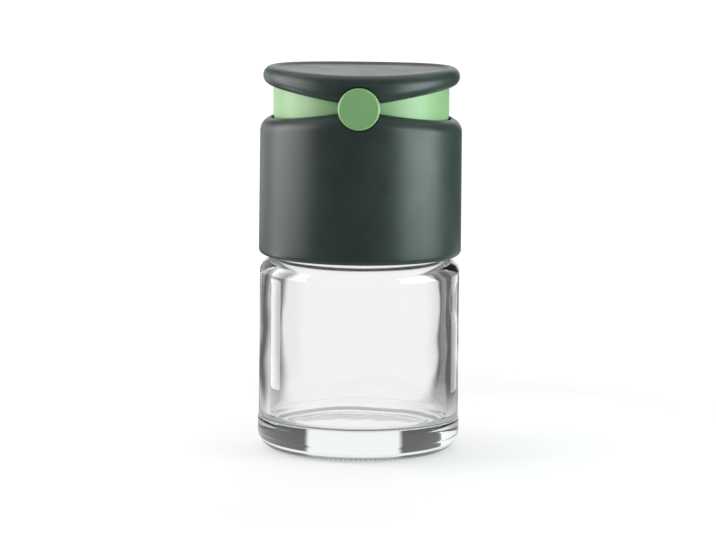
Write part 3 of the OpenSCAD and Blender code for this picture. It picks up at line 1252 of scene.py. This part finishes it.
@dataclass
class Drum:
    """Green drum, turned from a ball about the pivots, with a pouring slot and sprinkling holes."""

    layout: Layout
    ball_over: float = 0.25
    wall: float = 1.8
    side_rows: int = 40
    port_drop: float = 10.25
    port_h: float = 4.0
    port_w: float = 20.0
    port_rim_r: float = 23.4
    slot_bend: int = 25
    hole_d: float = 1.7
    hole_step: float = 4.0
    hole_count: int = 5
    pin_r: float = 2.56
    boss_wall: float = 1.84
    boss_tail: float = 0.8
    boss_into: float = 0.6
    post_r: float = 2.58
    post_x: float = 14.0
    edge_round: float = 0.2

    @property
    def port_z(self) -> float:
        """Height of the middle of the ports."""
        return self.layout.pivot_z - self.port_drop

    def _side(self, inset: float, high_z: float) -> list[Point]:
        """Points down the side of a ball that is shaved to a band.

        Args:
            inset: Distance in from the outer side, in millimetres.
            high_z: Height of the first point.

        Returns:
            Points down to the drum's lower end.
        """
        band_r = self.layout.drum_r - inset
        ball_r = self.layout.drum_r + self.ball_over - inset
        heights = np.linspace(high_z, self.layout.drum_low_z, self.side_rows)
        return [(min(band_r, math.sqrt(ball_r**2 - (z - self.layout.pivot_z) ** 2)), z) for z in heights]

    def shell(self) -> bpy.types.Object:
        """Makes the hollow drum before its holes.

        Returns:
            The closed cup, its roof up.
        """
        roof_z = self.layout.roof_z
        outside = self._side(0.0, roof_z)
        inside = self._side(self.wall, roof_z - self.wall)
        shape = Outline(0, roof_z)
        shape.line(outside[0][0], roof_z, 6)
        shape.points.extend(outside)
        shape.points.extend(reversed(inside))
        shape.line(0, roof_z - self.wall, 6)
        profile = shape.array()
        keep = np.append(True, np.hypot(*np.diff(profile, axis=0).T) > SAME_POINT)
        return skin("drum_shell", turned(profile[keep]), Ends.POLES)

    def slot_tool(self) -> bpy.types.Object:
        """Makes the cutter for the pouring slot, on the -X side.

        Returns:
            The closed cutter.
        """
        reach = self.port_h / 2
        half = self.port_w / 2 - reach
        bend = np.radians(np.linspace(-90, 90, self.slot_bend))
        right = np.stack([half + reach * np.cos(bend), reach * np.sin(bend)], axis=1)
        loop = np.vstack([right, -right])
        outer, inner = -self.layout.drum_r - CUT_OVER, -self.layout.drum_r / 2
        rows = []
        for share, depth in ((0.0, outer), (1.0, outer), (1.0, inner), (0.0, inner)):
            y, up = share * loop[:, 0], share * loop[:, 1]
            rows.append(np.stack([np.full(len(loop), depth), y, self.port_z + up], axis=1))
        return skin("drum_slot", np.stack(rows, axis=1), Ends.POLES)

    def on_ports(self, point: Vector) -> bool:
        """Tests for the outer rims of the slot and the holes.

        Args:
            point: Point in millimetres.

        Returns:
            True on such a rim.
        """
        near_z = abs(point.z - self.port_z) < self.port_h / 2 + MARGIN
        near_y = abs(point.y) < self.port_w / 2 + MARGIN
        return near_z and near_y and math.hypot(point.x, point.y) > self.port_rim_r

    def build(self) -> bpy.types.Object:
        """Makes the whole drum.

        Returns:
            The drum with bearings, pouring slot, sprinkling holes and post holes.
        """
        piece = self.shell()
        drum_r, roof_z = self.layout.drum_r, self.layout.roof_z
        past = drum_r + CUT_OVER
        boss_r = self.pin_r + self.boss_wall
        boss_y = self.layout.pin_end_y + self.boss_tail
        for side in Side:
            spot = facing(side, self.layout.pivot_z)
            boss = rod("drum_boss", boss_r, boss_y, drum_r - self.wall + self.boss_into, spot)
            carve(piece, boss, Carve.ADD)
            carve(piece, rod("drum_bore", self.pin_r, boss_y - CUT_OVER, past, spot), Carve.CUT)
        carve(piece, self.slot_tool(), Carve.CUT)
        quarter = Matrix.Rotation(math.radians(90), 4, "Y")
        for row in (0, 1):
            count = self.hole_count - row
            z = self.port_z + self.port_h / 4 * (1 - 2 * row)
            for index in range(count):
                y = (index - (count - 1) / 2) * self.hole_step
                spot = Matrix.Translation(Vector((0, y, z)) * MM) @ quarter
                hole = rod("drum_hole", self.hole_d / 2, drum_r / 2, past, spot, HOLE_AROUND)
                carve(piece, hole, Carve.CUT)
        low, high = roof_z - self.wall - CUT_OVER, roof_z + CUT_OVER
        for x in (self.post_x, -self.post_x):
            spot = Matrix.Translation((x * MM, 0, 0))
            carve(piece, rod("drum_post_hole", self.post_r, low, high, spot, POST_AROUND), Carve.CUT)
        soften(piece, self.on_ports, self.edge_round)
        return piece

    def dress(self, finish: bpy.types.Material) -> None:
        """Builds the drum and gives it its finish."""
        dress_piece(self.build(), finish, Slot.GREEN, "rocker", "dispensing_drum")


@dataclass
class Pivot:
    """Round green pivot: a flat head with a chamfered rim on a plain pin."""

    layout: Layout
    side: Side
    head_t: float = 2.2
    chamfer: float = 0.5
    chamfer_angle: float = 45.0
    corner_r: float = 0.1
    face_dip: float = 0.05
    dip_w: float = 1.2
    pin_r: float = 2.5
    pin_chamfer: float = 0.4

    @property
    def node(self) -> str:
        """CAD node of this pivot."""
        return f"{self.side.name.lower()}_pivot"

    def build(self) -> bpy.types.Object:
        """Makes the pivot, its head outward.

        Returns:
            The closed piece.
        """
        face_y = self.layout.pivot_face_y
        back_y = face_y - self.head_t
        end_y = self.layout.pin_end_y
        head_r = self.layout.pivot_head_r
        rim_r = head_r - self.chamfer
        corner = self.corner_r
        tangent = corner * math.tan(math.radians(self.chamfer_angle / 2))
        shape = Outline(0, face_y - self.face_dip)
        shape.line(rim_r - self.dip_w, face_y - self.face_dip, 6)
        shape.line(rim_r - 2 * tangent, face_y, 3)
        shape.arc(rim_r - tangent, face_y - corner, corner, 90, self.chamfer_angle, 4)
        shape.arc(head_r - corner, face_y - self.chamfer - tangent, corner, self.chamfer_angle, 0, 4)
        shape.line(head_r, back_y)
        shape.line(self.pin_r, back_y)
        shape.line(self.pin_r, end_y + self.pin_chamfer)
        shape.line(self.pin_r - self.pin_chamfer, end_y)
        shape.line(0, end_y)
        piece = skin(f"{self.node}_disc", turned(shape.array(), PIVOT_AROUND), Ends.POLES)
        return place_mesh(piece, facing(self.side, self.layout.pivot_z))

    def dress(self, finish: bpy.types.Material) -> None:
        """Builds the pivot and gives it its finish."""
        dress_piece(self.build(), finish, Slot.GREEN, "head", self.node)


def direction(azimuth: float, elevation: float) -> Vector:
    """Direction from the object, in degrees: azimuth 0 is the front and 90 the +X side."""
    a, e = math.radians(azimuth), math.radians(elevation)
    return Vector((math.sin(a) * math.cos(e), -math.cos(a) * math.cos(e), math.sin(e)))


@dataclass(frozen=True)
class Lamp:
    """One upright soft panel that stands round the object and faces it."""

    name: str
    azimuth: float
    distance: float
    width: float
    low_z: float
    high_z: float
    radiance: float
    colour: Colour = (1.0, 1.0, 1.0)

    def stand(self) -> None:
        """Makes the panel, which neither the picture nor light through glass shows."""
        height = self.high_z - self.low_z
        data = bpy.data.lights.new(self.name, "AREA")
        data.shape = "RECTANGLE"
        data.size = self.width * MM
        data.size_y = height * MM
        data.energy = math.pi * self.radiance * self.width * height * MM**2
        data.color = self.colour
        panel = link(data, self.name)
        away = direction(self.azimuth, 0.0)
        panel.location = (away * self.distance + Vector((0, 0, self.low_z + height / 2))) * MM
        panel.rotation_mode = "QUATERNION"
        panel.rotation_quaternion = away.to_track_quat("Z", "Y")
        panel.visible_camera = False
        panel.visible_transmission = False


LAMPS = (
    Lamp("left_panel", azimuth=-86.0, distance=220.0, width=220.0, low_z=40.0, high_z=230.0, radiance=3.7),
    Lamp(
        "left_back_panel",
        azimuth=-140.0,
        distance=240.0,
        width=110.0,
        low_z=32.0,
        high_z=150.0,
        radiance=0.9,
    ),
    Lamp("left_card", azimuth=-101.0, distance=135.0, width=43.0, low_z=0.5, high_z=38.0, radiance=5.6),
    Lamp("right_card", azimuth=133.0, distance=120.0, width=46.0, low_z=0.5, high_z=44.0, radiance=1.4),
    Lamp(
        "right_panel",
        azimuth=70.0,
        distance=220.0,
        width=190.0,
        low_z=36.0,
        high_z=160.0,
        radiance=6.2,
        colour=(0.86, 1.0, 0.96),
    ),
)


@dataclass
class Studio:
    """White table, a room with soft panels, and the camera of the picture.

    Spans say where a step of the room's light is 0 and where it is 1. Those for a height or a depth are
    parts of a unit direction. The others are turns in degrees from straight behind, positive on the right.
    """

    lens: float = 194.6
    sensor: float = 36.0
    distance: float = 1150.0
    elevation: float = 7.6
    azimuth: float = 1.4
    target_z: float = 53.0
    roll: float = 0.59
    aside: float = -0.5
    table_r: float = 2600.0
    table_t: float = 20.0
    room: float = 0.1
    open_room: float = 0.85
    back: float = 0.92
    back_gloss: float = 1.2
    back_left: Span = (-20.0, -17.0)
    back_right: Span = (21.3, 18.3)
    back_height: Span = (0.7, 0.5)
    window: float = 1.1
    window_near: Span = (-44.0, -47.0)
    window_far: Span = (-90.0, -75.0)
    window_height: Span = (0.6, 0.45)
    front: float = 0.3
    front_turn: Span = (115.0, 150.0)
    above: float = 1.4
    above_height: Span = (0.45, 0.8)
    above_depth: Span = (-0.6, 0.4)

    def camera(self) -> None:
        """Places the camera as the photograph was taken."""
        target = Vector((0, 0, self.target_z)) * MM
        back = direction(self.azimuth, self.elevation)
        turn = (-back).to_track_quat("-Z", "Y") @ Quaternion((0, 0, 1), math.radians(self.roll))
        data = bpy.data.cameras.new("picture_camera")
        data.lens = self.lens
        data.sensor_width = self.sensor
        data.sensor_fit = "HORIZONTAL"
        data.clip_start = 0.02
        data.clip_end = 30.0
        camera = link(data, "picture_camera")
        camera.location = target + back * self.distance * MM + turn @ Vector((self.aside * MM, 0, 0))
        camera.rotation_mode = "QUATERNION"
        camera.rotation_quaternion = turn
        bpy.context.scene.camera = camera

    def table(self) -> None:
        """Makes the white table as one wide disc with a turned-down rim."""
        profile = Outline(0, 0).line(self.table_r, 0, 12)
        profile.line(self.table_r, -self.table_t).line(0, -self.table_t, 2)
        floor = skin("white_table", turned(profile.array(), ROD_AROUND), Ends.POLES)
        floor.data.materials.append(WHITE_TABLE.material())

    def world(self) -> None:
        """Makes the room.

        It is bright behind the object and above it, has a window on the left and is grey in front. Light
        through glass also comes from the open room past the dark cards, and the picture sees plain white.
        """
        world = bpy.data.worlds.new("studio_room")
        world.use_nodes = True
        bpy.context.scene.world = world
        graph = Graph(world.node_tree)
        x, y, z = graph.split(graph.node("ShaderNodeTexCoord", output="Generated"))
        turn = x.angle_from(y) * math.degrees(1)
        through = graph.light_path("Is Transmission Ray")
        behind = turn.fade(self.back_left) * turn.fade(self.back_right) * z.fade(self.back_height)
        beside = turn.fade(self.window_near) * turn.fade(self.window_far) * z.fade(self.window_height)
        ahead = abs(turn).fade(self.front_turn)
        over = z.fade(self.above_height) * y.fade(self.above_depth)
        bright = self.back_gloss + through * (self.back - self.back_gloss)
        level = (self.room + behind * bright).at_least(beside * self.window)
        level = level.at_least(ahead * self.front).at_least(over * self.above)
        level = level.at_least(FLAGS.clear(turn) * through * self.open_room)
        seen = graph.light_path("Is Camera Ray")
        strength = level * (1 - seen) + seen
        light = graph.node("ShaderNodeBackground", {}, {"Color": grey(1.0), "Strength": strength})
        graph.node("ShaderNodeOutputWorld", {}, {"Surface": light})

    def build(self) -> None:
        """Sets up the whole studio, with enough bounces for thick glass."""
        self.camera()
        self.table()
        for lamp in LAMPS:
            lamp.stand()
        self.world()
        scene = bpy.context.scene
        scene.view_settings.view_transform = "Standard"
        scene.cycles.max_bounces = 32
        scene.cycles.transmission_bounces = 32
        scene.cycles.glossy_bounces = 16


def main() -> None:
    """Builds the pieces in order, dresses them and sets up the studio."""
    logging.basicConfig(level=logging.INFO, format="%(name)s: %(message)s")
    Studio().build()
    layout = Layout.from_frame()
    glass = CLEAR_GLASS.material()
    dark = SOFT_DARK.material()
    green = SATIN_GREEN.material()
    drum_green_painted_sheen = DRUM_GREEN_PAINTED_SHEEN.material()
    silicone = SEAL_SILICONE.material()
    pale = PALE_LINER.material()

    GlassJar().dress(glass)
    Collar(layout).dress(dark)
    Lid(layout).dress(dark)
    Drum(layout).dress(drum_green_painted_sheen)
    for side in Side:
        Pivot(layout, side).dress(green)

    for node, finish in (("threaded_sleeve", pale), ("wiping_seal", silicone), ("neck_seal", silicone)):
        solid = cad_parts[node]
        solid.data.materials.clear()
        solid.data.materials.append(finish)
        log.info("%s: CAD node with a new finish", node)


if __name__ == "__main__":
    main()
